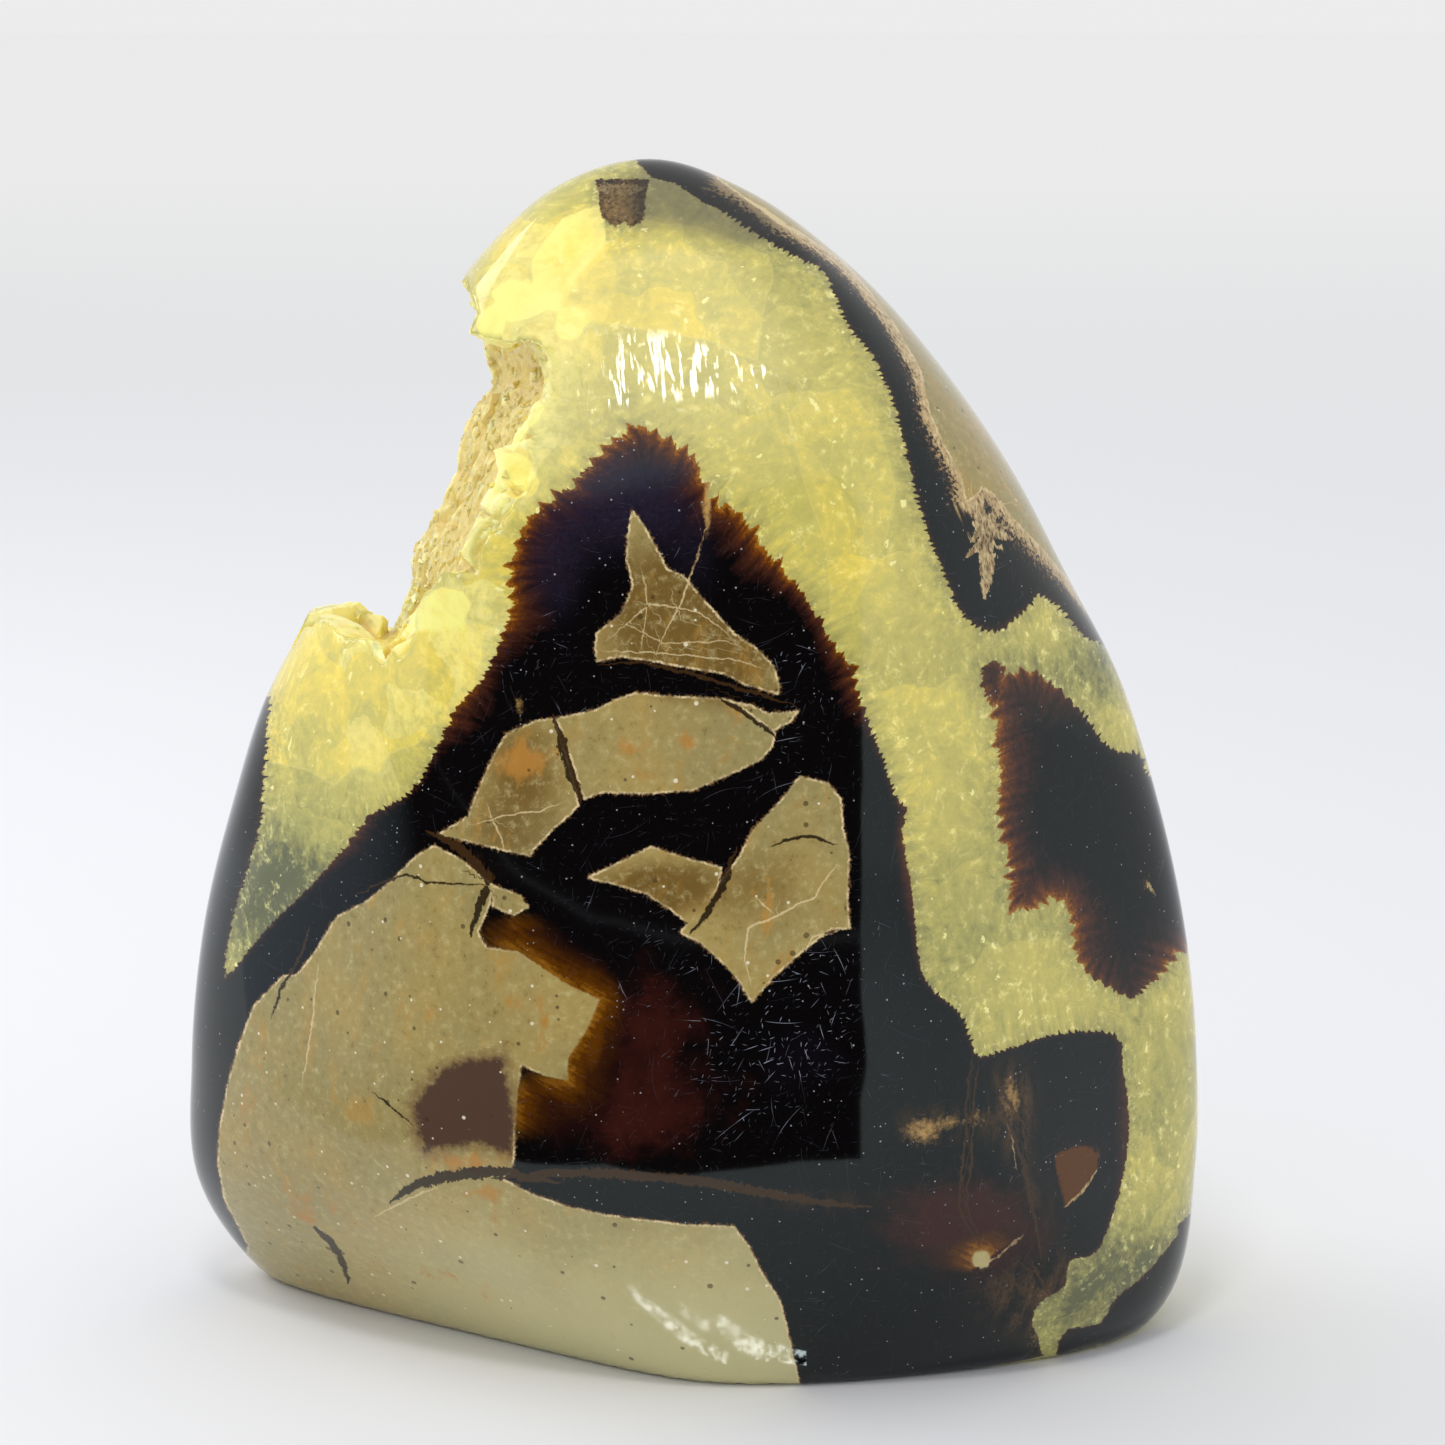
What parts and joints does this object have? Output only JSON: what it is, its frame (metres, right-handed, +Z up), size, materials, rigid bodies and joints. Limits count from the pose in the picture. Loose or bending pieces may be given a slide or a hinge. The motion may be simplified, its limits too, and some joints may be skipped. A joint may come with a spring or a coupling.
{
  "type": "septarian nodule",
  "caption": "Polished free-form septarian stone, flat-based and leaning to a blunt point, with yellow calcite veins around dark and tan blocks and a crystal-lined hollow in one side.",
  "frame": {"origin": "in the flat that the stone rests on, under the middle of its outline", "axes": "+Z up, -Y out of the patterned front face, +X to the right seen from the front"},
  "size_m": [0.0891, 0.0511, 0.1013],
  "materials": {
    "septarian_stone": "polished limestone, aragonite and calcite, glossy",
    "calcite_crystal": "natural calcite crystals, unpolished, slightly translucent"
  },
  "bodies": {
    "root": {"nodule": "septarian_stone", "crystal_crust": "calcite_crystal"}
  },
  "joints": []
}
